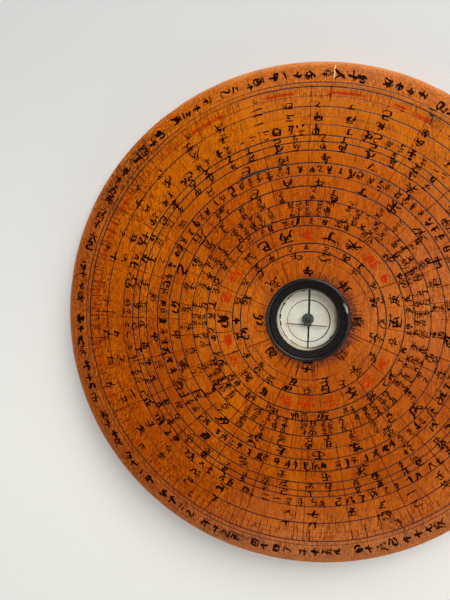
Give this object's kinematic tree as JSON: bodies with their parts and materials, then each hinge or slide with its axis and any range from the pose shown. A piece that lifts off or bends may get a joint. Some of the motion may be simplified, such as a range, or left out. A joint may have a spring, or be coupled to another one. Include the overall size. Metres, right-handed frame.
{
  "type": "feng shui compass",
  "caption": "Geomancer's compass: a round lacquered wooden plate with ringed scales, and at its middle a small glazed compass under a black turned ring.",
  "frame": {"origin": "centre of the plate's flat back, on the surface that it lies on", "axes": "+Z out of the face along the needle's pivot, +Y towards the top of the pictured face"},
  "size_m": [0.2, 0.2, 0.016],
  "materials": {
    "lacquered_wood": "orange-brown lacquer, worn satin",
    "white_cup": "painted white, aged",
    "card": "matt, aged",
    "window_glass": "clear",
    "black_ring": "black lacquer, polished",
    "pin_steel": "dull",
    "dark_brass": "darkened",
    "needle_steel": "dark, one end painted red"
  },
  "bodies": {
    "plate": {"dial_plate": "lacquered_wood", "pool_cup": "white_cup", "dial_card": "card", "glass_cover": "window_glass", "bezel_ring": "black_ring", "pivot_pin": "pin_steel"},
    "needle": {"needle_cap": "dark_brass", "needle_strap": "dark_brass", "strap_rivet": "dark_brass", "needle_bar": "needle_steel"}
  },
  "joints": [
    {"name": "needle_swing", "type": "hinge", "parent": "plate", "child": "needle", "pos_m": [0, 0, 0.01227], "axis": [0, 0, 1], "continuous": true}
  ]
}
